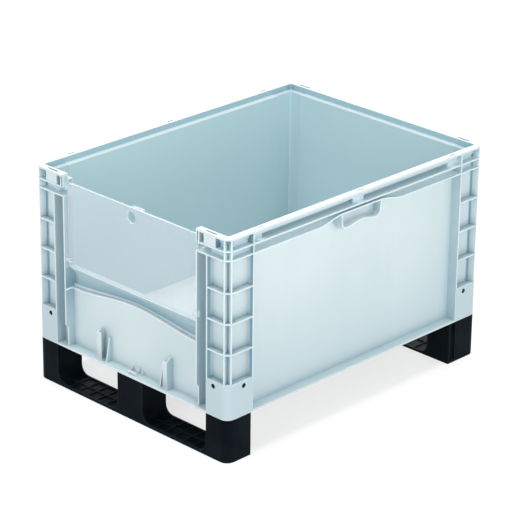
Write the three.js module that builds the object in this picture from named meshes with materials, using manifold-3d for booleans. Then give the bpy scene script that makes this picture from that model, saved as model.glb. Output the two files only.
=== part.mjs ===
// Plastic crate on two runners, with a clear flap in front of its pick opening.
// Millimetres, +Z up, the short side with the flap faces -Y, the floor is Z = 0.
import * as THREE from 'three';
import { mergeVertices } from 'three/addons/utils/BufferGeometryUtils.js';
import Module from 'manifold-3d';

const wasm = await Module();
wasm.setup();

// Overall sizes
const WIDTH = 600;
const LENGTH = 800;
const RUNNER_HEIGHT = 100;
const BODY_HEIGHT = 410;
const CORNER_RADIUS = 20;
const CLEARANCE = 0.3;

// Walls, floor and the depth that each surface lies behind the outer plane
const WALL = 3;
const RIB = 3;
const PANEL_DEPTH = 26;
const POST_DEPTH = 16;
const POST_INNER_DEPTH = 24;
const POST_CORNER_RADIUS = 8;
const FLOOR_RISE = 14;
const FLANGE_THICKNESS = 4;
const BASE_RIB_PITCH = 75;

// Rim
const RIM_WIDTH = 15;
const RIM_LIP_HEIGHT = 5;
const RIM_DEPTH = 17;
const STEP_BLOCK_LENGTH = 34;
const SLOT_WIDTH = 5;
const SLOT_DEPTH = 12;
const LONG_SLOT = 34;
const SHORT_SLOT = 17;
const SLOT_INSET = 7;
const SIDE_SLOT_FROM_POST = 25;
const END_SLOT_FROM_POST = 9;

// Corner posts
const POST_WIDTH = 64;
const POST_LENGTH = 76;
const FIN_GAP = 28;
const CORNER_RIB_ANGLE = 23;
const BLOCK_HEIGHT = 80;
const CELL_COUNT = 4;
const TOP_CELL_EXTRA = 2.5;
const UPPER_RIB_DROP = 29;
const LOWER_RIB_DROP = 49.5;
const POST_HOLE = 12;
const POST_HOLE_DROP = 11;
const END_HOLE_PLACE = 43;
const SIDE_HOLE_PLACE = 49;
const FLUSH_BLOCK = 34;
const FLUSH_BLOCK_PAST_POST = 8;

// Arched rib and shell handle in the middle of each closed side
const ARCH_RISE = 12;
const ARCH_FLAT = 60;
const ARCH_FOOT = 130;
const HANDLE_TOP_HALF = 63;
const HANDLE_BOTTOM_HALF = 61;
const HANDLE_DEPTH = 37;
const HANDLE_WAVE = 7;
const HANDLE_PAD = 7;
const HANDLE_CORNER = 15;
const HANDLE_SLANT = 5;

// Pick opening, its rim and the cove below the rim
const SILL_HEIGHT = 193;
const SILL_LIP = 5;
const SILL_FRONT = 14;
const COVE_END_DROP = 52;
const COVE_ARCH_RISE = 20;
const COVE_STEPS = 6;
const COVE_POWER = 1.6;
const COVE_RIB = 2.5;
const COVE_RIB_REACH = 8;

// Label holder and the small catch at the foot of the front wall
const LABEL_PLATE_OUTER = 110;
const LABEL_PLATE_WIDTH = 12;
const LABEL_FRONT = 6;
const LABEL_HEIGHT = 70;
const LABEL_PEAK = 9;
const LABEL_PEAK_PLACE = 13;
const LABEL_FIN_PLACE = 85;
const LABEL_FIN_HEIGHT = 54;
const LABEL_FIN_FOOT = 3;
const LABEL_FIN_TAPER = 9;
const LABEL_FIN_PEAK = 8;
const CATCH_WIDTH = 24;
const CATCH_HEIGHT = 11;
const CATCH_INSET = 1;
const CATCH_PEAK = 2;

// Flap and its hinge
const FLAP_THICKNESS = 4;
const FLAP_FRONT = 10;
const FLAP_SIDE_GAP = 2;
const FLAP_TOP_DROP = 18;
const FLAP_BELOW_PIVOT = 16.5;
const FLAP_CORNER = 6;
const PIVOT_ABOVE_SILL = 20;
const PIVOT_DEPTH = 6;
const PIVOT_RADIUS = 3;
const PIVOT_LENGTH = 9;
const PIVOT_SLOT_HEIGHT = 21;
const KNUCKLE_LENGTH = 12;
const KNUCKLE_RADIUS = 5.5;
const FINGER_HOLE = 27;
const FINGER_HOLE_DROP = 22;
const TAB_LENGTH = 31;
const TAB_DEPTH = 8;
const TAB_THICKNESS = 3;
const TAB_PLACE = 14;
const TAB_RAISE = 1;
const LATCH_REACH = 8;
const LATCH_HEIGHT = 8;
const NOTCH_DEPTH = 20;
const FIN_STEP = 7;
const LATCH_ROOM = 3;
const CHEEK = 3;
const LATCH_SLOT = 4;

// Runners
const FRONT_RUNNER_DEPTH = 71;
const REAR_RUNNER_DEPTH = 94;
const CENTRE_FOOT = 78;
const BAR_FLOOR = 3;
const BAR_INNER_LIP = 6;
const BAR_OUTER_LIP = 7;
const BAR_WALL = 4;
const BAR_RIB_HEIGHT = 5;
const BAR_RIB_PITCH = 30;
const FOOT_WALL = 4;
const FOOT_TOP = 6;
const FOOT_FILLET = 22;
const RUNNER_INNER_RADIUS = 2;
const END_RECESS = 4;
const END_RECESS_WIDTH = 18;

// Screws that hold the runners
const SCREW_HEAD = 12;
const SCREW_HEAD_HEIGHT = 4;
const SCREW_SHANK = 5;
const SCREW_SOCKET = 5;
const SCREW_SOCKET_DEPTH = 2;
const BOSS = 15;
const SCREW_SPREAD = 16;

// Steps of curves, how far joined pieces run into each other and cuts run past a face
const ARC_STEPS = 4;
const ROUND_SIDES = 12;
const MIN_RADIUS = 1;
const OVERLAP = 1;
const PAST = 1;
const SET_BACK = 0.25;

const HALF_W = WIDTH / 2;
const HALF_L = LENGTH / 2;
const BASE = RUNNER_HEIGHT;
const TOP = BASE + BODY_HEIGHT;
const UPPER_RIB = TOP - UPPER_RIB_DROP;
const LOWER_RIB = TOP - LOWER_RIB_DROP;
const BLOCK_TOP = BASE + BLOCK_HEIGHT;
const SILL = BASE + SILL_HEIGHT;
const POST_X = HALF_W - POST_WIDTH;
const POST_Y = HALF_L - POST_LENGTH;
const FIN_X = POST_X - FIN_GAP;
const OPENING_HALF = FIN_X - RIB;
const PANEL_X = HALF_W - PANEL_DEPTH;
const PANEL_Y = HALF_L - PANEL_DEPTH;
const CELL_PITCH = (LOWER_RIB - BLOCK_TOP - TOP_CELL_EXTRA) / CELL_COUNT;
const PIVOT_Y = -HALF_L + PIVOT_DEPTH;
const PIVOT_Z = SILL + PIVOT_ABOVE_SILL;
const LATCH_LOW = UPPER_RIB + RIB - LATCH_ROOM - LATCH_HEIGHT;
const LEDGE = TOP - RIM_DEPTH + SET_BACK;
const SCREW_LENGTH = FOOT_TOP + FLOOR_RISE - WALL;

const OUTER_SIDE = { lip: BAR_OUTER_LIP, radius: CORNER_RADIUS };
const INNER_SIDE = { lip: BAR_INNER_LIP, radius: RUNNER_INNER_RADIUS };
const FRONT_RUNNER = {
  y0: -HALF_L,
  y1: -HALF_L + FRONT_RUNNER_DEPTH,
  low: OUTER_SIDE,
  high: INNER_SIDE,
  recessed: false,
};
const REAR_RUNNER = {
  y0: HALF_L - REAR_RUNNER_DEPTH,
  y1: HALF_L,
  low: INNER_SIDE,
  high: OUTER_SIDE,
  recessed: true,
};
const FEET = [[-HALF_W, -POST_X], [-CENTRE_FOOT / 2, CENTRE_FOOT / 2], [POST_X, HALF_W]];
const BAYS = [[-POST_X, -CENTRE_FOOT / 2], [CENTRE_FOOT / 2, POST_X]];

// A closed three.js geometry becomes a solid
function solid(geometry) {
  const bare = geometry.index ? geometry.toNonIndexed() : geometry.clone();
  for (const name of ['normal', 'uv']) {
    bare.deleteAttribute(name);
  }
  const merged = mergeVertices(bare, 1e-4);
  const mesh = new wasm.Mesh({
    numProp: 3,
    vertProperties: new Float32Array(merged.attributes.position.array),
    triVerts: new Uint32Array(merged.index.array),
  });
  return new wasm.Manifold(mesh);
}

function join(pieces) {
  return pieces.reduce((whole, piece) => whole.add(piece));
}

function block(x0, x1, y0, y1, z0, z1) {
  const geometry = new THREE.BoxGeometry(x1 - x0, y1 - y0, z1 - z0);
  geometry.translate((x0 + x1) / 2, (y0 + y1) / 2, (z0 + z1) / 2);
  return solid(geometry);
}

function outline(points, holes = []) {
  const shape = new THREE.Shape(points);
  shape.holes = holes.map((hole) => new THREE.Path(hole));
  return shape;
}

// A plan outline stands up between two heights
function plate(shape, z0, z1) {
  const geometry = new THREE.ExtrudeGeometry(shape, { depth: z1 - z0, bevelEnabled: false });
  geometry.translate(0, 0, z0);
  return solid(geometry);
}

// An outline drawn in (y, z) is drawn out along X
function alongX(shape, x0, x1) {
  const geometry = new THREE.ExtrudeGeometry(shape, { depth: x1 - x0, bevelEnabled: false });
  geometry.applyMatrix4(new THREE.Matrix4().set(0, 0, 1, x0, 1, 0, 0, 0, 0, 1, 0, 0, 0, 0, 0, 1));
  return solid(geometry);
}

// An outline drawn in (x, z) is drawn out along Y
function alongY(shape, y0, y1) {
  const geometry = new THREE.ExtrudeGeometry(shape, { depth: y1 - y0, bevelEnabled: false });
  geometry.applyMatrix4(new THREE.Matrix4().set(1, 0, 0, 0, 0, 0, -1, y1, 0, 1, 0, 0, 0, 0, 0, 1));
  return solid(geometry);
}

function rod(radius, z0, z1, x, y) {
  const geometry = new THREE.CylinderGeometry(radius, radius, z1 - z0, ROUND_SIDES);
  geometry.rotateX(Math.PI / 2);
  geometry.translate(x, y, (z0 + z1) / 2);
  return solid(geometry);
}

function rodAlongX(radius, x0, x1, y, z) {
  const geometry = new THREE.CylinderGeometry(radius, radius, x1 - x0, ROUND_SIDES);
  geometry.rotateZ(Math.PI / 2);
  geometry.translate((x0 + x1) / 2, y, z);
  return solid(geometry);
}

function rodAlongY(radius, y0, y1, x, z) {
  const geometry = new THREE.CylinderGeometry(radius, radius, y1 - y0, ROUND_SIDES);
  geometry.translate(x, (y0 + y1) / 2, z);
  return solid(geometry);
}

function mirrored(piece, x, y = 1) {
  return piece.scale([x, y, 1]);
}

function atFourCorners(piece) {
  return [piece, mirrored(piece, -1), mirrored(piece, 1, -1), mirrored(piece, -1, -1)];
}

function pointList(pairs) {
  return pairs.map(([a, b]) => new THREE.Vector2(a, b));
}

function arc(x, y, radius, from, to) {
  const points = [];
  for (let i = 0; i <= ARC_STEPS; i += 1) {
    const angle = THREE.MathUtils.degToRad(from + ((to - from) * i) / ARC_STEPS);
    points.push(new THREE.Vector2(x + radius * Math.cos(angle), y + radius * Math.sin(angle)));
  }
  return points;
}

// One quarter of a plan outline, from the long side round to the short side, becomes the whole loop
function fourQuarters(quarter) {
  const turned = [...quarter].reverse();
  const place = (points, sx, sy) => points.map((p) => new THREE.Vector2(p.x * sx, p.y * sy));
  return [
    ...place(quarter, 1, 1),
    ...place(turned, -1, 1),
    ...place(quarter, -1, -1),
    ...place(turned, 1, -1),
  ];
}

function roundedLoop(inset) {
  const radius = Math.max(CORNER_RADIUS - inset, MIN_RADIUS);
  return fourQuarters(arc(HALF_W - inset - radius, HALF_L - inset - radius, radius, 0, 90));
}

// A surface lies deeper along the panels than at the corner posts
function steppedLoop(inset, postDepth = POST_DEPTH) {
  const panel = PANEL_DEPTH + inset;
  const post = postDepth + inset;
  const radius = POST_CORNER_RADIUS - inset;
  const stepX = POST_X + inset;
  const stepY = POST_Y + inset;
  return fourQuarters([
    new THREE.Vector2(HALF_W - panel, stepY),
    new THREE.Vector2(HALF_W - post, stepY),
    ...arc(HALF_W - post - radius, HALF_L - post - radius, radius, 0, 90),
    new THREE.Vector2(stepX, HALF_L - post),
    new THREE.Vector2(stepX, HALF_L - panel),
  ]);
}

function band(outerInset, innerLoop, z0, z1) {
  return plate(outline(roundedLoop(outerInset), [innerLoop]), z0, z1);
}

// The parts of a ring that lie on the corner posts at one end, from a distance off the middle
function postZones(ring, startX, end) {
  const startY = POST_Y + RIB / 2;
  const zone = block(startX, HALF_W + OVERLAP, startY, HALF_L + OVERLAP, 0, TOP);
  const cut = ring.intersect(end > 0 ? zone : mirrored(zone, 1, -1));
  return [cut, mirrored(cut, -1)];
}

// The room between the outer and the inner skin of a corner post, open from below
function postHollow() {
  const radius = POST_CORNER_RADIUS - WALL;
  const outer = POST_DEPTH + WALL;
  const inner = POST_INNER_DEPTH;
  const loop = [
    new THREE.Vector2(HALF_W - inner, POST_Y + WALL),
    new THREE.Vector2(HALF_W - outer, POST_Y + WALL),
    ...arc(HALF_W - outer - radius, HALF_L - outer - radius, radius, 0, 90),
    new THREE.Vector2(POST_X + WALL, HALF_L - outer),
    new THREE.Vector2(POST_X + WALL, HALF_L - inner),
    new THREE.Vector2(HALF_W - inner, HALF_L - inner),
  ];
  return plate(outline(loop), BASE - PAST, LEDGE - SET_BACK);
}

// Walls, floor, bottom flange and rim ledge, opened above and below the floor
function shell() {
  const floorLow = BASE + FLOOR_RISE;
  const floorHigh = floorLow + WALL;
  const full = join([
    plate(outline(roundedLoop(0)), BASE, BASE + FLANGE_THICKNESS),
    plate(outline(steppedLoop(0)), BASE + OVERLAP, LEDGE + OVERLAP),
    plate(outline(roundedLoop(RIM_WIDTH - WALL / 2)), LEDGE, LEDGE + WALL),
  ]);
  const cavities = join([
    plate(outline(steppedLoop(WALL, POST_INNER_DEPTH)), floorHigh, TOP + PAST),
    plate(outline(steppedLoop(WALL)), BASE - PAST, floorLow),
    ...atFourCorners(postHollow()),
  ]);
  return full.subtract(cavities);
}

// Crossed ribs below the floor
function baseRibs() {
  const pieces = [];
  const reachX = PANEL_X - WALL / 2;
  const reachY = PANEL_Y - WALL / 2;
  const top = BASE + FLOOR_RISE + OVERLAP;
  for (let x = BASE_RIB_PITCH / 2; x < reachX; x += BASE_RIB_PITCH) {
    const rib = block(x - RIB / 2, x + RIB / 2, -reachY, reachY, BASE + 2 * SET_BACK, top);
    pieces.push(rib, mirrored(rib, -1));
  }
  for (let y = BASE_RIB_PITCH / 2; y < reachY; y += BASE_RIB_PITCH) {
    const rib = block(-reachX, reachX, y - RIB / 2, y + RIB / 2, BASE + SET_BACK, top);
    pieces.push(rib, mirrored(rib, 1, -1));
  }
  return join(pieces);
}

// The rim is a channel open at the bottom, deeper on its inner side
function rim() {
  const low = TOP - RIM_DEPTH;
  const bar = band(0, roundedLoop(RIM_WIDTH), low, TOP);
  const channel = band(WALL, roundedLoop(RIM_WIDTH - WALL), low - PAST, TOP - WALL);
  const below = band(-PAST, roundedLoop(WALL + SET_BACK), low - PAST, TOP - RIM_LIP_HEIGHT);
  return bar.subtract(channel).subtract(below);
}

// The room above the ledge, inside the rim
function overLedge() {
  return plate(outline(roundedLoop(RIM_WIDTH - WALL / 2)), LEDGE + WALL / 2, TOP + PAST);
}

// Short blocks fill the step under the ledge at the ends and the middle of each closed side
function stepBlocks() {
  const z1 = LEDGE + WALL / 2;
  const half = STEP_BLOCK_LENGTH / 2;
  const face = RIM_WIDTH - WALL + SET_BACK;
  const pieces = [];
  for (const side of [-1, 0, 1]) {
    const y = side * (POST_Y - half + OVERLAP);
    const piece = block(PANEL_X - OVERLAP, HALF_W - face, y - half, y + half, UPPER_RIB, z1);
    pieces.push(piece, mirrored(piece, -1));
    const x = side * (POST_X - half + OVERLAP);
    pieces.push(block(x - half, x + half, PANEL_Y - OVERLAP, HALF_L - face, UPPER_RIB, z1));
  }
  return pieces;
}

// Horizontal and vertical ribs of the four corner posts, with a smooth hollow block at the foot
function posts() {
  const inside = steppedLoop(WALL / 2);
  const pieces = [];
  const start = POST_X + RIB / 2;
  for (const end of [-1, 1]) {
    for (let i = 0; i < CELL_COUNT; i += 1) {
      const z = BLOCK_TOP + CELL_PITCH * i;
      pieces.push(...postZones(band(0, inside, z - RIB / 2, z + RIB / 2), start, end));
    }
    const lower = band(0, inside, LOWER_RIB - RIB / 2, LOWER_RIB + RIB / 2);
    pieces.push(...postZones(lower, end < 0 ? OPENING_HALF : start, end));
    const foot = band(SET_BACK, roundedLoop(WALL), BASE + OVERLAP, BLOCK_TOP);
    pieces.push(...postZones(foot, start, end));
  }

  const foot = BASE + OVERLAP;
  const top = TOP - WALL / 2;
  const flush = POST_X - FLUSH_BLOCK_PAST_POST;
  const flushBack = HALF_L - POST_DEPTH - OVERLAP;
  const post = join([
    block(POST_X, POST_X + RIB, PANEL_Y - OVERLAP, HALF_L - SET_BACK, foot, LOWER_RIB),
    block(PANEL_X - OVERLAP, HALF_W - SET_BACK, POST_Y, POST_Y + RIB, foot, top),
    cornerRib(45 - CORNER_RIB_ANGLE),
    cornerRib(45 + CORNER_RIB_ANGLE),
    block(flush, flush + FLUSH_BLOCK, flushBack, HALF_L - OVERLAP, UPPER_RIB, top),
  ]);
  return join([...pieces, ...atFourCorners(post)]).subtract(overLedge());
}

// One upright rib on the rounded corner, from the curve's centre out and square to the curve
function cornerRib(angle) {
  const turn = THREE.MathUtils.degToRad(angle);
  const length = CORNER_RADIUS - 2 * SET_BACK;
  const top = TOP - WALL / 2;
  const geometry = new THREE.BoxGeometry(length, RIB, top - BLOCK_TOP);
  geometry.translate(length / 2, 0, (top + BLOCK_TOP) / 2);
  geometry.rotateZ(turn);
  geometry.translate(HALF_W - CORNER_RADIUS, HALF_L - CORNER_RADIUS, 0);
  return solid(geometry);
}

// Height of the arched rib above its foot, at a distance from the middle of the side
function archLift(distance) {
  const run = (Math.abs(distance) - ARCH_FLAT) / (ARCH_FOOT - ARCH_FLAT);
  return ARCH_RISE * (1 - THREE.MathUtils.smoothstep(run, 0, 1));
}

// Outline of the arched rib of a closed side, in distance along the side and height
function archOutline(half) {
  const upper = [];
  const steps = 2 * ARC_STEPS;
  upper.push(new THREE.Vector2(-half, LOWER_RIB + RIB / 2));
  for (const side of [-1, 1]) {
    for (let i = 0; i <= steps; i += 1) {
      const share = side < 0 ? 1 - i / steps : i / steps;
      const distance = side * (ARCH_FLAT + (ARCH_FOOT - ARCH_FLAT) * share);
      upper.push(new THREE.Vector2(distance, LOWER_RIB + RIB / 2 + archLift(distance)));
    }
  }
  upper.push(new THREE.Vector2(half, LOWER_RIB + RIB / 2));
  const lower = [...upper].reverse().map((p) => new THREE.Vector2(p.x, p.y - RIB));
  return outline([...upper, ...lower]);
}

// Outer edge of the shell handle, from the arched rib down and round its wavy bottom
function handleEdge(inset) {
  const top = LOWER_RIB + ARCH_RISE;
  const bottom = top - HANDLE_DEPTH + inset;
  const topHalf = HANDLE_TOP_HALF - inset;
  const bottomHalf = HANDLE_BOTTOM_HALF - inset;
  const radius = HANDLE_CORNER - inset;
  const points = [new THREE.Vector2(-topHalf, top)];
  points.push(...arc(-bottomHalf + radius, bottom + radius, radius, 180 + HANDLE_SLANT, 270));
  const steps = 2 * ARC_STEPS;
  for (let i = 1; i < steps; i += 1) {
    const share = i / steps;
    const place = (2 * share - 1) * (bottomHalf - radius);
    points.push(new THREE.Vector2(place, bottom + HANDLE_WAVE * Math.sin(Math.PI * share) ** 2));
  }
  points.push(...arc(bottomHalf - radius, bottom + radius, radius, 270, 360 - HANDLE_SLANT));
  points.push(new THREE.Vector2(topHalf, top));
  return points;
}

// Arched rib, handle wall and the pad inside the handle, drawn for the side at +Y
function closedSide(halfSide) {
  const root = PANEL_Y - OVERLAP;
  const ring = [...handleEdge(0), ...handleEdge(RIB).reverse()];
  return join([
    alongY(archOutline(halfSide + OVERLAP), root, HALF_L),
    alongY(outline(ring), root, HALF_L - SET_BACK),
    alongY(outline(handleEdge(RIB / 2)), root, PANEL_Y + HANDLE_PAD),
  ]);
}

function closedSides() {
  const back = closedSide(POST_X);
  const end = closedSide(POST_Y);
  const shift = HALF_W - HALF_L;
  const right = end.rotate([0, 0, -90]).translate([shift, 0, 0]);
  const left = end.rotate([0, 0, 90]).translate([-shift, 0, 0]);
  return join([back, right, left]);
}

function upperRib() {
  return band(0, steppedLoop(WALL / 2), UPPER_RIB - RIB / 2, UPPER_RIB + RIB / 2);
}

// Height at which the cove ends, highest in the middle of the opening
function coveEnd(x) {
  const share = Math.min(Math.abs(x) / OPENING_HALF, 1);
  return SILL - COVE_END_DROP + COVE_ARCH_RISE * (1 - THREE.MathUtils.smoothstep(share, 0, 1));
}

// Section at one x of the lip below the pick opening and of the cove that sweeps back under it
function sillSection(x) {
  const lip = -HALF_L + SILL_FRONT;
  const back = -PANEL_Y + WALL - SET_BACK;
  const root = -PANEL_Y + OVERLAP;
  const high = SILL - SILL_LIP;
  const end = coveEnd(x);
  const cove = [];
  for (let i = 1; i <= COVE_STEPS; i += 1) {
    const share = i / COVE_STEPS;
    const y = lip - (PANEL_Y + lip) * Math.sin((share * Math.PI) / 2);
    cove.push([y, high - (high - end) * share ** COVE_POWER]);
  }
  const edge = [[back, SILL], [lip, SILL], [lip, high], ...cove, [root, end], [root, high], [back, high]];
  return edge.map(([y, z]) => [x, y, z]);
}

// Sections with equal numbers of points are joined in turn into one solid
function loft(sections) {
  const positions = [];
  const triangle = (a, b, c) => positions.push(...a, ...b, ...c);
  const size = sections[0].length;
  for (let s = 0; s + 1 < sections.length; s += 1) {
    for (let i = 0; i < size; i += 1) {
      const j = (i + 1) % size;
      triangle(sections[s][i], sections[s][j], sections[s + 1][j]);
      triangle(sections[s][i], sections[s + 1][j], sections[s + 1][i]);
    }
  }
  const first = sections[0];
  const last = sections[sections.length - 1];
  const flat = first.map(([, y, z]) => new THREE.Vector2(y, z));
  for (const [a, b, c] of THREE.ShapeUtils.triangulateShape(flat, [])) {
    triangle(first[a], first[c], first[b]);
    triangle(last[a], last[b], last[c]);
  }
  const geometry = new THREE.BufferGeometry();
  geometry.setAttribute('position', new THREE.Float32BufferAttribute(positions, 3));
  return solid(geometry);
}

// Places across the pick opening, a little past its sides
function columnPlaces() {
  const reach = OPENING_HALF + RIB / 2;
  const count = 2 * COVE_STEPS;
  return Array.from({ length: count + 1 }, (_, i) => -reach + (2 * reach * i) / count);
}

// Thin arched rib along the lower end of the cove
function coveRib() {
  const upper = columnPlaces().map((x) => new THREE.Vector2(x, coveEnd(x) + COVE_RIB / 2));
  const lower = [...upper].reverse().map((p) => new THREE.Vector2(p.x, p.y - COVE_RIB));
  return alongY(outline([...upper, ...lower]), -PANEL_Y - COVE_RIB_REACH, -PANEL_Y + OVERLAP);
}

// Upright fin at each side of the pick opening, stepped back below where the open flap hangs
function openingFin() {
  const hangLow = 2 * PIVOT_Z - LATCH_LOW + LATCH_ROOM;
  const back = -PANEL_Y + WALL - SET_BACK;
  const front = -HALF_L + SET_BACK;
  const stepped = -HALF_L + FIN_STEP;
  const low = BASE + OVERLAP;
  const edge = [
    [back, low],
    [back, LOWER_RIB],
    [front, LOWER_RIB],
    [front, hangLow],
    [stepped, hangLow - FIN_STEP],
    [stepped, low],
  ];
  const fin = alongX(outline(pointList(edge)), OPENING_HALF, FIN_X);
  return fin.subtract(pivotSlot());
}

// Upright slot in which the flap's pivot pin turns
function pivotSlot() {
  const rise = PIVOT_SLOT_HEIGHT / 2 - PIVOT_RADIUS;
  const radius = PIVOT_RADIUS + CLEARANCE;
  const foot = arc(PIVOT_Y, PIVOT_Z, radius, 180, 360);
  const head = arc(PIVOT_Y, PIVOT_Z + rise, radius, 0, 180);
  return alongX(outline([...foot, ...head]), OPENING_HALF - PAST, FIN_X + PAST);
}

// The springy arm beside the latch and the cheek that ends the rim
function frontUpper() {
  const front = -HALF_L + SET_BACK;
  const arm = FIN_X + LATCH_SLOT;
  const cheek = OPENING_HALF + SET_BACK;
  const top = TOP - WALL / 2;
  return join([
    block(arm, arm + RIB, front, -PANEL_Y + OVERLAP, UPPER_RIB, top),
    block(cheek, OPENING_HALF + CHEEK, front, front + RIM_WIDTH, UPPER_RIB, top),
  ]).subtract(overLedge());
}

// The upright guides that hold a label, drawn for the right half
function labelGuide() {
  const wall = -PANEL_Y + OVERLAP;
  const front = -HALF_L + LABEL_FRONT;
  const outer = LABEL_PLATE_OUTER;
  const low = BASE + OVERLAP;
  const high = BASE + LABEL_HEIGHT;
  const peak = front + LABEL_PEAK_PLACE;
  const gusset = [
    [wall, high],
    [peak, high + LABEL_PEAK],
    [front + OVERLAP, high - OVERLAP],
    [front + OVERLAP, low],
    [wall, low],
  ];
  const finFoot = front + LABEL_FIN_FOOT;
  const finHigh = BASE + LABEL_FIN_HEIGHT;
  const fin = [
    [wall, finHigh],
    [peak, finHigh + LABEL_FIN_PEAK],
    [finFoot + LABEL_FIN_TAPER, finHigh],
    [finFoot, low],
    [wall, low],
  ];
  const finLeft = LABEL_FIN_PLACE - RIB / 2;
  return join([
    block(outer - LABEL_PLATE_WIDTH, outer, front, front + RIB, low, high),
    alongX(outline(pointList(gusset)), outer - RIB, outer - SET_BACK),
    alongX(outline(pointList(fin)), finLeft, finLeft + RIB),
  ]);
}

// Small catch at the foot of the front wall, drawn for the right half
function footCatch() {
  const wall = -PANEL_Y + OVERLAP;
  const face = -HALF_L + LABEL_FRONT + CATCH_INSET;
  const low = BASE + OVERLAP;
  const high = BASE + CATCH_HEIGHT;
  const half = CATCH_WIDTH / 2;
  const gusset = [[wall, low], [wall, high + CATCH_PEAK], [face - CATCH_INSET, low]];
  return join([
    block(-OVERLAP, half, face, face + RIB, high - RIB, high),
    block(half - RIB, half - SET_BACK, face + SET_BACK, face + RIB - SET_BACK, low, high - OVERLAP),
    alongX(outline(pointList(gusset)), half + RIB, half + 2 * RIB),
  ]);
}

// Two screws stand one behind the other in the middle of each foot
function screwPlaces(runner) {
  const places = [];
  const y = (runner.y0 + runner.y1) / 2;
  for (const [x0, x1] of FEET) {
    const x = (x0 + x1) / 2;
    places.push([x, y - SCREW_SPREAD / 2], [x, y + SCREW_SPREAD / 2]);
  }
  return places;
}

// The pick opening, and the notch above each fin that the flap's latch lies in
function pickOpening() {
  const half = OPENING_HALF + RIB / 2;
  const front = -HALF_L - PAST;
  const back = -PANEL_Y + 2 * WALL;
  const notch = FIN_X + LATCH_SLOT;
  const notchBack = -HALF_L + NOTCH_DEPTH;
  return join([
    block(-half, half, front, back, SILL - SET_BACK, TOP + PAST),
    block(-notch, notch, front, notchBack, LOWER_RIB + RIB, UPPER_RIB + RIB),
  ]);
}

function body() {
  const walls = join([shell(), rim(), upperRib(), posts(), closedSides(), ...stepBlocks()]);
  const additions = [loft(columnPlaces().map(sillSection)), coveRib(), baseRibs()];
  for (const piece of [footCatch(), labelGuide(), openingFin(), frontUpper()]) {
    additions.push(piece, mirrored(piece, -1));
  }
  const under = BASE + FLOOR_RISE;
  const pilot = SCREW_SHANK / 2 + CLEARANCE;
  const places = [FRONT_RUNNER, REAR_RUNNER].flatMap(screwPlaces);
  const bosses = places.map(([x, y]) => rod(BOSS / 2, BASE, under + OVERLAP, x, y));
  const pilots = places.map(([x, y]) => rod(pilot, BASE - PAST, under, x, y));
  const whole = join([walls.subtract(pickOpening()), ...additions, ...bosses]);
  return whole.subtract(join([...pilots, ...postHoles(), ...rimSlots()]));
}

function postHoles() {
  const z = BLOCK_TOP - POST_HOLE_DROP;
  const deep = WALL + PAST;
  const radius = POST_HOLE / 2;
  return [
    ...atFourCorners(rodAlongY(radius, HALF_L - deep, HALF_L + PAST, HALF_W - END_HOLE_PLACE, z)),
    ...atFourCorners(rodAlongX(radius, HALF_W - deep, HALF_W + PAST, HALF_L - SIDE_HOLE_PLACE, z)),
  ];
}

function rimSlots() {
  const slot = (x, y, lengthX, lengthY) => block(
    x - lengthX / 2,
    x + lengthX / 2,
    y - lengthY / 2,
    y + lengthY / 2,
    TOP - SLOT_DEPTH,
    TOP + PAST,
  );
  const sideX = HALF_W - SLOT_INSET;
  const endY = HALF_L - SLOT_INSET;
  const middle = slot(sideX, 0, SLOT_WIDTH, SHORT_SLOT);
  return [
    middle,
    mirrored(middle, -1),
    ...atFourCorners(slot(sideX, POST_Y - SIDE_SLOT_FROM_POST, SLOT_WIDTH, SHORT_SLOT)),
    ...atFourCorners(slot(POST_X + END_SLOT_FROM_POST, endY, LONG_SLOT, SLOT_WIDTH)),
  ];
}

// Clear pane with finger hole and tab; a latch, a knuckle and a pin stand at each side
function flap() {
  const half = OPENING_HALF - FLAP_SIDE_GAP;
  const low = PIVOT_Z - FLAP_BELOW_PIVOT;
  const high = TOP - FLAP_TOP_DROP;
  const front = -HALF_L + FLAP_FRONT;
  const back = front + FLAP_THICKNESS;
  const edge = [
    new THREE.Vector2(-half, low),
    new THREE.Vector2(half, low),
    ...arc(half - FLAP_CORNER, high - FLAP_CORNER, FLAP_CORNER, 0, 90),
    ...arc(-half + FLAP_CORNER, high - FLAP_CORNER, FLAP_CORNER, 90, 180),
  ];
  const pane = alongY(outline(edge), front, back);
  const tab = TAB_PLACE - TAB_LENGTH / 2;
  const grip = block(
    tab,
    tab + TAB_LENGTH,
    front + SET_BACK,
    back + TAB_DEPTH,
    high - TAB_THICKNESS,
    high + TAB_RAISE,
  );
  const latchEnd = half + LATCH_REACH;
  const knuckleEnd = half - SET_BACK;
  const knuckleStart = knuckleEnd - KNUCKLE_LENGTH;
  const pinStart = knuckleEnd - KNUCKLE_LENGTH / 2;
  const side = join([
    block(half - OVERLAP, latchEnd, front, back, LATCH_LOW, LATCH_LOW + LATCH_HEIGHT),
    rodAlongX(KNUCKLE_RADIUS, knuckleStart, knuckleEnd, PIVOT_Y, PIVOT_Z),
    rodAlongX(PIVOT_RADIUS, pinStart, half + PIVOT_LENGTH, PIVOT_Y, PIVOT_Z),
  ]);
  const hole = rodAlongY(FINGER_HOLE / 2, front - PAST, back + PAST, 0, high - FINGER_HOLE_DROP);
  return join([pane, grip, side, mirrored(side, -1)]).subtract(hole);
}

// Plan of a runner: its outer corners follow the crate's corners
function runnerLoop(plan) {
  const low = plan.low.radius;
  const high = plan.high.radius;
  return [
    ...arc(HALF_W - low, plan.y0 + low, low, 270, 360),
    ...arc(HALF_W - high, plan.y1 - high, high, 0, 90),
    ...arc(-HALF_W + high, plan.y1 - high, high, 90, 180),
    ...arc(-HALF_W + low, plan.y0 + low, low, 180, 270),
  ];
}

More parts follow.
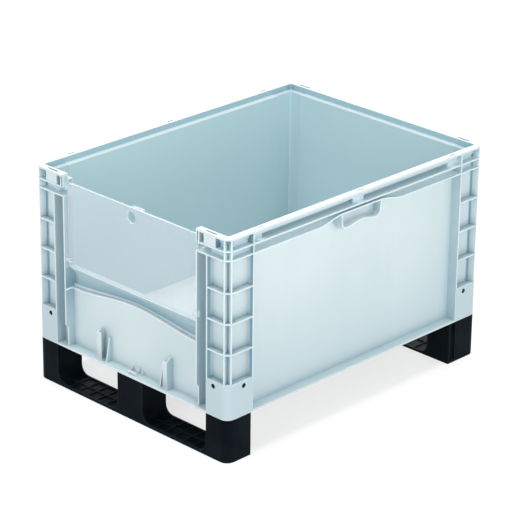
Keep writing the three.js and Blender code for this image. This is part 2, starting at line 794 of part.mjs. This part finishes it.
// Space between two feet above a height, with rounded lower corners
function windowOutline([x0, x1], low, high) {
  return outline([
    new THREE.Vector2(x0, high),
    ...arc(x0 + FOOT_FILLET, low + FOOT_FILLET, FOOT_FILLET, 180, 270),
    ...arc(x1 - FOOT_FILLET, low + FOOT_FILLET, FOOT_FILLET, 270, 360),
    new THREE.Vector2(x1, high),
  ]);
}

// The bar between two feet is a shallow tray with a lip along each edge
function bayCuts(plan, bay, high) {
  const near = plan.y0 + BAR_WALL;
  const far = plan.y1 - BAR_WALL;
  return [
    alongY(windowOutline(bay, plan.low.lip, high), plan.y0 - PAST, near + OVERLAP),
    alongY(windowOutline(bay, plan.high.lip, high), far - OVERLAP, plan.y1 + PAST),
    alongY(windowOutline(bay, BAR_FLOOR, high), near, far),
  ];
}

// Each foot is hollow from below, with rounded inner corners
function footHollow(plan, [x0, x1], high) {
  const radius = CORNER_RADIUS - FOOT_WALL;
  const left = x0 + FOOT_WALL + END_RECESS;
  const right = x1 - FOOT_WALL - END_RECESS;
  const near = plan.y0 + FOOT_WALL;
  const far = plan.y1 - FOOT_WALL;
  const loop = [
    ...arc(right - radius, near + radius, radius, 270, 360),
    ...arc(right - radius, far - radius, radius, 0, 90),
    ...arc(left + radius, far - radius, radius, 90, 180),
    ...arc(left + radius, near + radius, radius, 180, 270),
  ];
  return plate(outline(loop), -PAST, high);
}

// Low ribs on the tray and one upright web across each foot
function runnerWebs(plan, top) {
  const webs = [];
  const near = (plan.y0 + plan.y1 - RIB) / 2;
  const far = near + RIB;
  for (const [x0, x1] of BAYS) {
    for (let x = x0 + BAR_RIB_PITCH; x < x1 - FOOT_FILLET / 2; x += BAR_RIB_PITCH) {
      webs.push(block(x, x + RIB, plan.y0 + PAST, plan.y1 - PAST, PAST, BAR_RIB_HEIGHT));
    }
    webs.push(block(x0 - OVERLAP, x1 + OVERLAP, near, far, PAST, BAR_RIB_HEIGHT));
  }
  for (const [x0, x1] of FEET) {
    webs.push(block(x0 + OVERLAP, x1 - OVERLAP, near, far, 0, top - OVERLAP));
  }
  return webs;
}

// Shallow recess in each end face of the rear runner, along its inner edge
function endRecess(plan, top) {
  const near = plan.y0 + END_RECESS;
  const recess = [HALF_W - END_RECESS, HALF_W + PAST, near, near + END_RECESS_WIDTH];
  return block(...recess, BAR_INNER_LIP, top + PAST);
}

// Three feet joined by a bar
function runner(plan) {
  const top = RUNNER_HEIGHT - CLEARANCE;
  const cuts = [];
  for (const bay of BAYS) {
    cuts.push(...bayCuts(plan, bay, top + PAST));
  }
  for (const foot of FEET) {
    cuts.push(footHollow(plan, foot, top - FOOT_TOP));
  }
  const feetAndBar = plate(outline(runnerLoop(plan)), 0, top).subtract(join(cuts));
  const holes = screwPlaces(plan).map(([x, y]) => (
    rod(SCREW_SHANK / 2 + CLEARANCE, top - FOOT_TOP - PAST, top + PAST, x, y)
  ));
  if (plan.recessed) {
    const recess = endRecess(plan, top);
    holes.push(recess, mirrored(recess, -1));
  }
  return join([feetAndBar, ...runnerWebs(plan, top)]).subtract(join(holes));
}

// Screw with its head inside the foot and its shank up in the crate's boss
function screw([x, y]) {
  const seat = RUNNER_HEIGHT - FOOT_TOP - 2 * CLEARANCE;
  const low = seat - SCREW_HEAD_HEIGHT;
  const head = rod(SCREW_HEAD / 2, low, seat, x, y);
  const shank = rod(SCREW_SHANK / 2, seat - OVERLAP, seat + SCREW_LENGTH, x, y);
  const socket = rod(SCREW_SOCKET / 2, low - PAST, low + SCREW_SOCKET_DEPTH, x, y);
  return head.add(shank).subtract(socket);
}

function mesh(name, piece, material) {
  const data = piece.getMesh();
  const geometry = new THREE.BufferGeometry();
  geometry.setAttribute('position', new THREE.BufferAttribute(data.vertProperties, 3));
  geometry.setIndex(new THREE.BufferAttribute(data.triVerts, 1));
  geometry.computeVertexNormals();
  const result = new THREE.Mesh(geometry, material);
  result.name = name;
  return result;
}

const cratePlastic = new THREE.MeshStandardMaterial({ color: 0xc3d2d9, roughness: 0.5, metalness: 0 });
const clearPlastic = new THREE.MeshStandardMaterial({
  color: 0xdce8ee,
  roughness: 0.12,
  metalness: 0,
  transparent: true,
  opacity: 0.35,
});
const blackPlastic = new THREE.MeshStandardMaterial({ color: 0x1a2128, roughness: 0.55, metalness: 0 });
const steel = new THREE.MeshStandardMaterial({ color: 0xb4b6b8, roughness: 0.35, metalness: 1 });

const crate = new THREE.Group();
crate.add(mesh('crate_body', body(), cratePlastic));
crate.add(mesh('front_flap', flap(), clearPlastic));
for (const [name, plan] of [['front', FRONT_RUNNER], ['rear', REAR_RUNNER]]) {
  crate.add(mesh(`${name}_runner`, runner(plan), blackPlastic));
  screwPlaces(plan).forEach((place, i) => {
    crate.add(mesh(`${name}_runner_screw_${i + 1}`, screw(place), steel));
  });
}

export default crate;
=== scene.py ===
"""Looks of the plastic crate on runners: smooth pieces, materials, light and camera."""
import math

import bmesh
import bpy
from mathutils import Matrix, Vector


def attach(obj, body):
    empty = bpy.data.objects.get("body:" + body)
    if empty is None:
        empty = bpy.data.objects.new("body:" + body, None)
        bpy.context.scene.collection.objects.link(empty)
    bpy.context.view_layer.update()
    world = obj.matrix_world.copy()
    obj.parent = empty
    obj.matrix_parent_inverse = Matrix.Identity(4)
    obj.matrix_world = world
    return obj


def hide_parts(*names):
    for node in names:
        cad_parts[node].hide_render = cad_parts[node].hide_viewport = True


SCREWS_PER_RUNNER = 6

# How the CAD meshes are welded and shaded, in metres and radians
WELD_DISTANCE = 1e-6
FLAT_ANGLE = math.radians(0.2)
SMOOTH_ANGLE = math.radians(32)
FLAT_WEIGHT = 100

# The photograph's camera, in degrees, pixels and metres
CAMERA_AZIMUTH = 44.6
CAMERA_ELEVATION = 23.09
CAMERA_ROLL = 0.61
CAMERA_DISTANCE = 5.60066
CAMERA_TARGET = Vector((-0.01537, 0.0, 0.26167))
FOCAL_PIXELS = 2500.55
FRAME_PIXELS = 512
SENSOR_MM = 36.0
CLIP_START = 0.1
CLIP_END = 100.0

# Lights, in metres, degrees and watts
WORLD_STRENGTH = 0.5
DOWN_STRENGTH = 2.0
DOWN_SPREAD = 25.0
LAMP_SIZE = 2.0
LAMP_TARGET = Vector((0.0, 0.0, 0.3))
LAMPS = (
    ("right_light", (4.0, -0.6, 1.6), 55.0),
    ("front_light", (0.4, -4.0, 1.6), 42.0),
    ("back_light", (-3.0, 3.4, 1.8), 45.0),
)

# Colours are linear red, green and blue
BODY_COLOUR = (0.595, 0.70, 0.725, 1.0)
BODY_LIGHT = (0.645, 0.735, 0.755, 1.0)
BODY_DULL = (0.555, 0.67, 0.70, 1.0)
BODY_SHADE = (0.215, 0.375, 0.46, 1.0)
# Painted highlight on the body's edges, the rim's top and the arched rib
BODY_HIGHLIGHT = (0.90, 0.94, 0.955, 1.0)
BODY_LOW = (0.445, 0.56, 0.60, 1.0)
# Painted shade on the crate's inner walls
BODY_INNER_SHADE = (0.52, 0.695, 0.735, 1.0)
# Painted shade on the rim's inner band
BODY_RIM_SHADE = (0.38, 0.57, 0.63, 1.0)
# Painted light in the recesses under the rim
BODY_RECESS_LIGHT = (0.66, 0.82, 0.87, 1.0)
# Painted light on the crate's inner floor
BODY_INNER_FLOOR_LIGHT = (0.76, 0.79, 0.81, 1.0)
# Painted shade in the cove and painted shadow below its rib
BODY_COVE_SHADE = (0.16, 0.31, 0.38, 1.0)
FLAP_COLOUR = (0.72, 0.80, 0.84, 1.0)
# Painted highlight on the flap's edges
FLAP_HIGHLIGHT = (0.95, 0.97, 0.98, 1.0)
FLAP_TINT = (0.975, 0.985, 0.99, 1.0)
RUNNER_COLOUR = (0.0022, 0.0042, 0.0065, 1.0)
RUNNER_DULL = (0.0045, 0.0085, 0.0115, 1.0)
# Painted highlight on the runners' edges
RUNNER_HIGHLIGHT = (0.035, 0.048, 0.060, 1.0)
STEEL_COLOUR = (0.50, 0.50, 0.49, 1.0)
STEEL_DULL = (0.42, 0.42, 0.40, 1.0)
FLOOR_COLOUR = (0.85, 0.85, 0.85, 1.0)
FLOOR_DULL = (0.84, 0.84, 0.84, 1.0)
WHITE = (1.0, 1.0, 1.0, 1.0)

# The floor that the camera sees: a share of real light, so that it keeps shadows, and white
FLOOR_SHADOW = (0.34, 0.34, 0.34, 1.0)
FLOOR_GLOW = 0.68
FLOOR_HALF = 30.0

# Plastic in general: refraction, gloss off a plain sheet, depth of the grain and bevel rays
PLASTIC_IOR = 1.49
PLAIN_SPECULAR = 0.5
GRAIN_DEPTH = 0.0004
BEVEL_SAMPLES = 4

# Noise values at which a ramp starts and ends
NOISE_NARROW = (0.35, 0.65)
NOISE_WIDE = (0.3, 0.7)

# Heights and half widths in metres that bound the crate's surfaces
RIM_TOP = 0.51
LEDGE = 0.495
FLOOR_TOP = 0.117
FLANGE_LOW = 0.10
INNER_X = 0.2735
INNER_Y = 0.3735
RIM_X = 0.2856
RIM_Y = 0.3856
POST_X = 0.236
POST_Y = 0.324
PANEL_X = 0.2743
PANEL_Y = 0.3743
CORNER_X = 0.2805
CORNER_Y = 0.3805
BLOCK_TOP = 0.181
SILL = 0.293
UPPER_RIB = 0.481
LOWER_RIB = 0.4605
RIB = 0.003
HANDLE_HALF = 0.07
HANDLE_LOW = 0.42

# Just inside the crate's outermost faces, and clear of them
FACE_X = 0.2985
FACE_Y = 0.3985
BEYOND_X = 0.31
BEYOND_Y = 0.41

# What a bound is moved by, so that a face on it lies clearly on one side
SKIN = 0.001

# The cove under the sill: half width, its rib's height and rise, and half the rib's thickness
COVE_X = 0.205
COVE_LOW = 0.241
COVE_RISE = 0.02
COVE_RIB = 0.0022

# How far the cove's shade reaches below and above its rib, and its share away from the rib
COVE_BELOW = 0.075
COVE_ABOVE = 0.035
COVE_SHARE = 0.55

# The test for hollows: its reach in metres, and ramps with the value that is darkest, the value
# that is clear, and the share of shade at each
HOLLOW_REACH = 0.022
BAND_REACH = 0.02
HOLLOW_DEEP = (0.3, 0.9, 0.75, 0.0)
HOLLOW_LIGHT = (0.25, 0.85, 0.4, 0.0)
HOLLOW_SOFT = (0.2, 0.7, 0.15, 0.0)
HOLLOW_BAND = (0.35, 0.85, 1.0, 0.0)

# How far a face has to turn across a wall to count as a side, where one is square to it
SIDE_TURN = 0.75

# Value of the test for edges from which a face shows no painted highlight
EDGE_CLEAR = 0.9

# The body's flow lines and clouds: scales of the noise, stretch of the lines, share of the clouds
STREAK_SCALE = 9.0
STREAK_STRETCH = (1.0, 1.0, 0.08)
CLOUD_SCALE = 3.5
CLOUD_SHARE = 0.6

# Shares of the body's second colours in its zones: painted shade, painted light and low tones
SIDE_SHARE = 0.34
BAND_SHARE = 0.8
BAND_LEAST = 0.1
RECESS_LIGHT_SHARE = 0.8
ARCH_SHARE = 0.8
BLOCK_SHARE = 0.97
LOW_SHARE = 0.75
LOW_FRONT = 0.35

# The height in metres where the low tone ends
LOW_END = 0.36

# The rim's top, given a painted highlight that is fainter at the back: metres below the top
# where it starts and where it is full, and a ramp on Y with its two places and the share at each
RIM_HIGHLIGHT_START = 0.0015
RIM_HIGHLIGHT_FULL = 0.0005
RIM_HIGHLIGHT_RAMP = (0.2, 0.39, 0.66, 0.25)


class Graph:
    """The nodes of a new material or world, made and wired in short calls."""

    def __init__(self, owner):
        self.owner = owner
        owner.use_nodes = True
        self.nodes = owner.node_tree.nodes
        self.links = owner.node_tree.links
        self.nodes.clear()

    def add(self, kind, inputs=None, **settings):
        """A node with its settings, whose inputs are linked to a socket or set to a constant."""
        node = self.nodes.new(kind)
        for key, value in settings.items():
            setattr(node, key, value)
        for key, value in (inputs or {}).items():
            if isinstance(value, bpy.types.NodeSocket):
                self.links.new(value, node.inputs[key])
            else:
                node.inputs[key].default_value = value
        return node

    def mix(self, factor, first, second):
        """The first colour where the factor is nought, the second where it is one."""
        node = self.add("ShaderNodeMix", {0: factor, 6: first, 7: second}, data_type="RGBA")
        return node.outputs[2]

    def ramp(self, value, low, high, out_low=0.0, out_high=1.0, kind="LINEAR"):
        """A value carried from one range to another, and held at its ends."""
        node = self.add(
            "ShaderNodeMapRange",
            {
                "Value": value,
                "From Min": low,
                "From Max": high,
                "To Min": out_low,
                "To Max": out_high,
            },
            interpolation_type=kind,
        )
        return node.outputs["Result"]

    def noise(self, scale, stretch=(1.0, 1.0, 1.0), detail=3.0):
        """Soft noise fixed to the piece, with its scale changed on each axis by the stretch."""
        place = self.add("ShaderNodeTexCoord").outputs["Object"]
        mapping = self.add("ShaderNodeMapping", {"Vector": place, "Scale": stretch})
        node = self.add(
            "ShaderNodeTexNoise",
            {"Vector": mapping.outputs["Vector"], "Scale": scale, "Detail": detail},
        )
        return node.outputs["Fac"]

    def occlusion(self, distance, inside=False, samples=8):
        """One in the open and less in hollows, or less at edges when it looks inside the solid."""
        node = self.add(
            "ShaderNodeAmbientOcclusion", {"Distance": distance}, inside=inside, samples=samples
        )
        return node.outputs["AO"]

    def axes(self):
        """The place on X, Y and Z, fixed to the piece."""
        place = self.add("ShaderNodeTexCoord").outputs["Object"]
        return self.add("ShaderNodeSeparateXYZ", {"Vector": place}).outputs

    def math(self, operation, *values):
        return self.add("ShaderNodeMath", dict(enumerate(values)), operation=operation).outputs[0]

    def times(self, first, second):
        return self.math("MULTIPLY", first, second)

    def maximum(self, first, second):
        return self.math("MAXIMUM", first, second)

    def between(self, axis, low, high):
        """One where the place on an axis is between two values, nought elsewhere."""
        return self.math("COMPARE", self.axes()[axis], (low + high) / 2, (high - low) / 2)

    def within(self, x, y, z):
        """One inside an upright box given by its reach on each axis, nought outside."""
        flat = self.times(self.between("X", *x), self.between("Y", *y))
        return self.times(flat, self.between("Z", *z))

    def outside(self, axis, reach):
        """One farther from the middle than the reach on an axis, nought nearer."""
        return self.math("GREATER_THAN", self.math("ABSOLUTE", self.axes()[axis]), reach)

    def choose(self, share, first, second):
        """The first value where the share is nought, the second where it is one."""
        change = self.times(share, self.math("SUBTRACT", second, first))
        return self.math("ADD", first, change)

    def seen(self):
        """One for rays from the camera, off gloss or through glass, and nought for other light."""
        rays = self.add("ShaderNodeLightPath").outputs
        direct = self.maximum(rays["Is Camera Ray"], rays["Is Glossy Ray"])
        return self.maximum(direct, rays["Is Transmission Ray"])

    def blend(self, factor, first, second):
        """The first shader where the factor is nought, the second where it is one."""
        node = self.add("ShaderNodeMixShader", {0: factor, 1: first, 2: second})
        return node.outputs["Shader"]

    def finish(self, shader, kind="ShaderNodeOutputMaterial"):
        """Wire the shader to the output, and give back the finished material or world."""
        self.add(kind, {"Surface": shader})
        return self.owner


def above_arch(g):
    """Height above the arched rib that ends the cove."""
    across = g.math("ABSOLUTE", g.axes()["X"])
    arch = g.ramp(across, 0.0, COVE_X, COVE_LOW + COVE_RISE, COVE_LOW, "SMOOTHSTEP")
    return g.math("SUBTRACT", g.axes()["Z"], arch)


def front_panel(g, front, back):
    """One on what lies below the pick opening, between two places on Y."""
    return g.within((-COVE_X, COVE_X), (front, back), (FLANGE_LOW, SILL - SKIN))


def cove_shade(g):
    """The share of shade in the cove between the sill and the arched rib, and just below the rib."""
    above = above_arch(g)
    under = g.ramp(above, -COVE_BELOW, -COVE_RIB, 0.0, COVE_SHARE)
    over = g.ramp(above, COVE_RIB, COVE_ABOVE, 1.0, COVE_SHARE)
    shade = g.choose(g.math("GREATER_THAN", above, 0.0), under, over)
    return g.times(shade, front_panel(g, -FACE_Y, -PANEL_Y))


def arch_light(g):
    """One on the thin front edge of the arched rib."""
    near = g.math("LESS_THAN", g.math("ABSOLUTE", above_arch(g)), COVE_RIB)
    return g.times(near, front_panel(g, -FACE_Y, -PANEL_Y - 2 * SKIN))


def corner_post(g):
    """One in the four corners that the posts and the foot blocks take up."""
    return g.times(g.outside("X", POST_X), g.outside("Y", POST_Y))


def side_shade(g):
    """One on upright faces that stand across a wall, such as the sides of post cells and fins."""
    facing = g.add("ShaderNodeNewGeometry").outputs["Normal"]
    facing = g.add("ShaderNodeSeparateXYZ", {"Vector": facing}).outputs
    shares = []
    for along, across, wall, reach in (("Y", "X", PANEL_X, FACE_Y), ("X", "Y", PANEL_Y, FACE_X)):
        turned = g.math("GREATER_THAN", g.math("ABSOLUTE", facing[along]), SIDE_TURN)
        recessed = g.math("SUBTRACT", g.outside(across, wall), g.outside(along, reach))
        shares.append(g.times(turned, recessed))
    corner = g.times(g.outside("X", CORNER_X), g.outside("Y", CORNER_Y))
    low = g.math("LESS_THAN", g.axes()["Z"], RIM_TOP - 2 * RIB)
    return g.times(g.math("SUBTRACT", g.maximum(*shares), corner), low)


def band_walls(g):
    """One in the two narrow recesses that run round the crate under the rim."""
    return g.within((-FACE_X, FACE_X), (-FACE_Y, FACE_Y), (LOWER_RIB + RIB / 2, LEDGE - SKIN))


def band_shade(g):
    """The share of shade under the rim and under the upper rib, darkest just below each."""
    height = g.axes()["Z"]
    upper = g.ramp(height, UPPER_RIB + RIB, LEDGE, BAND_LEAST, 1.0)
    lower = g.ramp(height, LOWER_RIB + RIB, UPPER_RIB - RIB, BAND_LEAST, 1.0)
    shade = g.choose(g.math("GREATER_THAN", height, UPPER_RIB), lower, upper)
    hollows = g.ramp(g.occlusion(BAND_REACH), *HOLLOW_BAND)
    return g.times(g.times(shade, hollows), band_walls(g))


def hollow_shade(g):
    """The share of shade in hollows: clear in post cells and handles, faint on the open panels."""
    corner = corner_post(g)
    handles = g.within(
        (-BEYOND_X, BEYOND_X), (-HANDLE_HALF, HANDLE_HALF), (HANDLE_LOW, LOWER_RIB + RIB)
    )
    inner = g.within((-INNER_X, INNER_X), (-INNER_Y, INNER_Y), (FLANGE_LOW, RIM_TOP))
    near = g.occlusion(HOLLOW_REACH)
    deep = g.ramp(near, *HOLLOW_DEEP)
    light = g.ramp(near, *HOLLOW_LIGHT)
    soft = g.ramp(near, *HOLLOW_SOFT)
    shade = g.choose(g.maximum(corner, handles), light, deep)
    shade = g.choose(band_walls(g), shade, soft)
    sides = g.choose(corner, SIDE_SHARE, 1.0)
    shade = g.maximum(shade, g.times(side_shade(g), sides))
    shade = g.maximum(shade, g.times(band_shade(g), BAND_SHARE))
    return g.choose(inner, shade, soft)


def body_colour(g):
    """The plastic's colour: flow lines and clouds, then the tones of its zones and hollows, with
    painted light and painted shade.
    """
    streak = g.ramp(g.noise(STREAK_SCALE, STREAK_STRETCH), *NOISE_NARROW)
    cloud = g.ramp(g.noise(CLOUD_SCALE), *NOISE_NARROW, out_high=CLOUD_SHARE)
    base = g.mix(streak, BODY_COLOUR, BODY_LIGHT)
    base = g.mix(cloud, base, BODY_DULL)
    height = g.axes()["Z"]
    low = g.ramp(height, FLANGE_LOW, LOW_END, LOW_SHARE, 0.0)
    front = front_panel(g, -BEYOND_Y, -PANEL_Y + 2 * SKIN)
    low = g.choose(front, low, g.times(low, LOW_FRONT))
    foot = g.times(corner_post(g), g.math("LESS_THAN", height, BLOCK_TOP))
    low = g.choose(foot, low, BLOCK_SHARE)
    base = g.mix(low, base, BODY_LOW)
    # Painted light in the recesses under the rim
    base = g.mix(g.times(band_walls(g), RECESS_LIGHT_SHARE), base, BODY_RECESS_LIGHT)
    inner = (-INNER_X, INNER_X), (-INNER_Y, INNER_Y)
    rim = (-RIM_X, RIM_X), (-RIM_Y, RIM_Y)
    # Painted shade on the inner walls
    base = g.mix(g.within(*inner, (FLOOR_TOP + SKIN, LEDGE)), base, BODY_INNER_SHADE)
    # Painted light on the inner floor
    base = g.mix(g.within(*inner, (FLANGE_LOW, FLOOR_TOP + SKIN)), base, BODY_INNER_FLOOR_LIGHT)
    # Painted shade on the rim's inner band
    base = g.mix(g.within(*rim, (LEDGE + 2 * SKIN, RIM_TOP - SKIN)), base, BODY_RIM_SHADE)
    # Painted shade in the cove and painted shadow below its rib
    base = g.mix(cove_shade(g), base, BODY_COVE_SHADE)
    return g.mix(hollow_shade(g), base, BODY_SHADE)


def edge_highlight(g, reach, start, share):
    """The share of painted highlight at edges, from a test that looks inside the solid."""
    return g.ramp(g.occlusion(reach, inside=True), start, EDGE_CLEAR, share, 0.0)


def painted_highlights(g):
    """The share of painted highlight on the body's edges, the rim's top and the arched rib."""
    edge = edge_highlight(g, reach=0.002, start=0.55, share=0.7)
    # Painted highlight on the rim's top, fainter at the back
    rim_highlight_share = g.ramp(g.axes()["Y"], *RIM_HIGHLIGHT_RAMP)
    top = g.ramp(g.axes()["Z"], RIM_TOP - RIM_HIGHLIGHT_START, RIM_TOP - RIM_HIGHLIGHT_FULL)
    light = g.times(arch_light(g), ARCH_SHARE)
    return g.maximum(g.maximum(edge, g.times(top, rim_highlight_share)), light)


def rounded(g, radius):
    """Normals that round the sharp edges."""
    bevel = g.add("ShaderNodeBevel", {"Radius": radius}, samples=BEVEL_SAMPLES)
    return bevel.outputs["Normal"]


def grained(g, radius, scale, strength):
    """Normals that round the sharp edges and carry a fine moulded grain."""
    normal = rounded(g, radius)
    bump = g.add(
        "ShaderNodeBump",
        {
            "Height": g.noise(scale, detail=2.0),
            "Strength": strength,
            "Distance": GRAIN_DEPTH,
            "Normal": normal,
        },
    )
    return bump.outputs["Normal"]


def plastic(g, colour, roughness, normal, specular=PLAIN_SPECULAR):
    """The shader of moulded plastic."""
    shader = g.add(
        "ShaderNodeBsdfPrincipled",
        {
            "Base Color": colour,
            "Roughness": roughness,
            "IOR": PLASTIC_IOR,
            "Specular IOR Level": specular,
            "Normal": normal,
        },
    )
    return shader.outputs["BSDF"]


def body_material():
    """Satin moulded plastic: painted highlights at edges, painted shade in hollows, faint upright flow
    lines and a fine grain.
    """
    g = Graph(bpy.data.materials.new("crate_plastic"))
    colour = body_colour(g)
    # Painted highlight on edges, the rim's top and the arched rib
    colour = g.mix(painted_highlights(g), colour, BODY_HIGHLIGHT)
    normal = grained(g, radius=0.0009, scale=900.0, strength=0.05)
    roughness = g.ramp(g.noise(scale=40.0), *NOISE_WIDE, out_low=0.42, out_high=0.52)
    return g.finish(plastic(g, colour, roughness, normal, specular=0.35))


def flap_material():
    """Clear plastic sheet: mostly see-through, with a pale veil, painted highlights at its edges and a
    soft gloss.
    """
    g = Graph(bpy.data.materials.new("clear_plastic"))
    waves = g.noise(scale=4.0, stretch=(1.0, 1.0, 0.4))
    veil = g.ramp(waves, *NOISE_WIDE, out_low=0.26, out_high=0.31)
    # Painted highlight on the flap's edges, which also makes them less see-through
    edge = edge_highlight(g, reach=0.0022, start=0.5, share=0.6)
    cover = g.add("ShaderNodeMath", {0: veil, 1: edge}, operation="ADD", use_clamp=True)
    normal = rounded(g, radius=0.0008)
    colour = g.mix(edge, FLAP_COLOUR, FLAP_HIGHLIGHT)
    roughness = g.ramp(g.noise(scale=30.0), *NOISE_WIDE, out_low=0.10, out_high=0.16)
    surface = plastic(g, colour, roughness, normal)
    clear = g.add("ShaderNodeBsdfTransparent", {"Color": FLAP_TINT})
    return g.finish(g.blend(cover.outputs[0], clear.outputs["BSDF"], surface))


def runner_material():
    """Black moulded plastic with paler edges, a painted highlight."""
    g = Graph(bpy.data.materials.new("black_plastic"))
    cloud = g.ramp(g.noise(scale=14.0), *NOISE_NARROW)
    colour = g.mix(cloud, RUNNER_COLOUR, RUNNER_DULL)
    # Painted highlight on the runners' edges
    edge = edge_highlight(g, reach=0.002, start=0.5, share=0.55)
    colour = g.mix(edge, colour, RUNNER_HIGHLIGHT)
    normal = grained(g, radius=0.0012, scale=700.0, strength=0.08)
    roughness = g.ramp(g.noise(scale=60.0), *NOISE_WIDE, out_low=0.42, out_high=0.55)
    return g.finish(plastic(g, colour, roughness, normal, specular=0.03))


def steel_material():
    """Zinc-plated steel with a fine turned grain."""
    g = Graph(bpy.data.materials.new("steel"))
    grain = g.noise(scale=260.0, stretch=(1.0, 1.0, 6.0))
    shader = g.add(
        "ShaderNodeBsdfPrincipled",
        {
            "Base Color": g.mix(g.ramp(grain, *NOISE_WIDE), STEEL_COLOUR, STEEL_DULL),
            "Metallic": 1.0,
            "Roughness": g.ramp(grain, *NOISE_WIDE, out_low=0.28, out_high=0.42),
        },
    )
    return g.finish(shader.outputs["BSDF"])


def floor_material():
    """Plain pale floor that lights the object as it is, and shows white with soft shadows."""
    g = Graph(bpy.data.materials.new("studio_floor"))
    colour = g.mix(g.noise(scale=2.0), FLOOR_COLOUR, FLOOR_DULL)
    plain = g.add("ShaderNodeBsdfDiffuse", {"Color": colour})
    shadow = g.add("ShaderNodeBsdfDiffuse", {"Color": FLOOR_SHADOW})
    glow = g.add("ShaderNodeEmission", {"Color": WHITE, "Strength": FLOOR_GLOW})
    white = g.add("ShaderNodeAddShader", {0: shadow.outputs["BSDF"], 1: glow.outputs["Emission"]})
    return g.finish(g.blend(g.seen(), plain.outputs["BSDF"], white.outputs["Shader"]))


def new_object(name, data):
    """A new object in the scene."""
    made = bpy.data.objects.new(name, data)
    bpy.context.scene.collection.objects.link(made)
    return made


def smooth_copy(node, name, body, material):
    """A welded copy of a CAD node with its curves shaded smooth, shown in the node's place."""
    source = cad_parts[node]
    mesh = source.data.copy()
    mesh.name = name
    shaped = bmesh.new()
    shaped.from_mesh(mesh)
    bmesh.ops.remove_doubles(shaped, verts=shaped.verts, dist=WELD_DISTANCE)
    bmesh.ops.dissolve_limit(
        shaped, angle_limit=FLAT_ANGLE, verts=shaped.verts, edges=shaped.edges
    )
    shaped.to_mesh(mesh)
    shaped.free()
    mesh.materials.clear()
    mesh.materials.append(material)
    piece = new_object(name, mesh)
    mesh.polygons.foreach_set("use_smooth", [True] * len(mesh.polygons))
    mesh.set_sharp_from_angle(angle=SMOOTH_ANGLE)
    weighted = piece.modifiers.new("flat_faces_stay_flat", "WEIGHTED_NORMAL")
    weighted.mode = "FACE_AREA"
    weighted.weight = FLAT_WEIGHT
    weighted.keep_sharp = True
    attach(piece, body)
    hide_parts(node)


def area_light(name, place, power):
    """A square lamp that points at the crate."""
    data = bpy.data.lights.new(name, "AREA")
    data.shape = "SQUARE"
    data.size = LAMP_SIZE
    data.energy = power
    light = new_object(name, data)
    light.location = place
    direction = LAMP_TARGET - Vector(place)
    light.rotation_mode = "QUATERNION"
    light.rotation_quaternion = direction.to_track_quat("-Z", "Y")


def down_light():
    """Even light from straight above, as from a large ceiling lamp far away."""
    data = bpy.data.lights.new("down_light", "SUN")
    data.energy = DOWN_STRENGTH
    data.angle = math.radians(DOWN_SPREAD)
    new_object("down_light", data)


def white_world():
    """White behind everything that is seen, and a soft even light elsewhere."""
    world = bpy.data.worlds.new("studio")
    bpy.context.scene.world = world
    g = Graph(world)
    soft = g.add("ShaderNodeBackground", {"Color": WHITE, "Strength": WORLD_STRENGTH})
    white = g.add("ShaderNodeBackground", {"Color": WHITE, "Strength": 1.0})
    mixed = g.blend(g.seen(), soft.outputs["Background"], white.outputs["Background"])
    g.finish(mixed, "ShaderNodeOutputWorld")


def photo_camera():
    """The photograph's camera, placed by its two angles, its roll and its distance."""
    azimuth = math.radians(CAMERA_AZIMUTH)
    elevation = math.radians(CAMERA_ELEVATION)
    roll = math.radians(CAMERA_ROLL)
    back = Vector((
        math.sin(azimuth) * math.cos(elevation),
        -math.cos(azimuth) * math.cos(elevation),
        math.sin(elevation),
    ))
    flat_right = Vector((math.cos(azimuth), math.sin(azimuth), 0.0))
    flat_up = back.cross(flat_right)
    right = flat_right * math.cos(roll) + flat_up * math.sin(roll)
    up = back.cross(right)
    data = bpy.data.cameras.new("photo_camera")
    data.sensor_width = SENSOR_MM
    data.lens = FOCAL_PIXELS / FRAME_PIXELS * SENSOR_MM
    data.clip_start = CLIP_START
    data.clip_end = CLIP_END
    camera = new_object("photo_camera", data)
    place = CAMERA_TARGET + back * CAMERA_DISTANCE
    camera.matrix_world = Matrix((
        (right.x, up.x, back.x, place.x),
        (right.y, up.y, back.y, place.y),
        (right.z, up.z, back.z, place.z),
        (0.0, 0.0, 0.0, 1.0),
    ))
    bpy.context.scene.camera = camera


def floor_piece():
    """The wide studio floor that the crate stands on, which is no piece of the crate."""
    mesh = bpy.data.meshes.new("studio_floor")
    half = FLOOR_HALF
    corners = [(-half, -half, 0.0), (half, -half, 0.0), (half, half, 0.0), (-half, half, 0.0)]
    mesh.from_pydata(corners, [], [(0, 1, 2, 3)])
    mesh.materials.append(floor_material())
    floor = new_object("studio_floor", mesh)


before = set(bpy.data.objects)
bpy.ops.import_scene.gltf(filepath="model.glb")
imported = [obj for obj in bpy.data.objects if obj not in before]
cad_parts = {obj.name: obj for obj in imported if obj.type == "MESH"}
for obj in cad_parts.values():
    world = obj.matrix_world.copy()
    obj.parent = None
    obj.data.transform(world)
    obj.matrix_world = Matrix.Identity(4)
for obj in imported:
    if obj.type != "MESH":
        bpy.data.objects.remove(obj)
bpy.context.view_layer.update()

steel = steel_material()
runner_plastic = runner_material()
smooth_copy("crate_body", "crate_shell", "crate", body_material())
smooth_copy("front_flap", "clear_flap", "flap", flap_material())
for end in ("front", "rear"):
    smooth_copy(f"{end}_runner", f"{end}_runner_piece", "crate", runner_plastic)
    for number in range(1, SCREWS_PER_RUNNER + 1):
        name = f"{end}_runner_screw_{number}"
        smooth_copy(name, f"{name}_piece", "crate", steel)

floor_piece()
white_world()
down_light()
for lamp in LAMPS:
    area_light(*lamp)
photo_camera()

bpy.context.scene.view_settings.view_transform = "Standard"
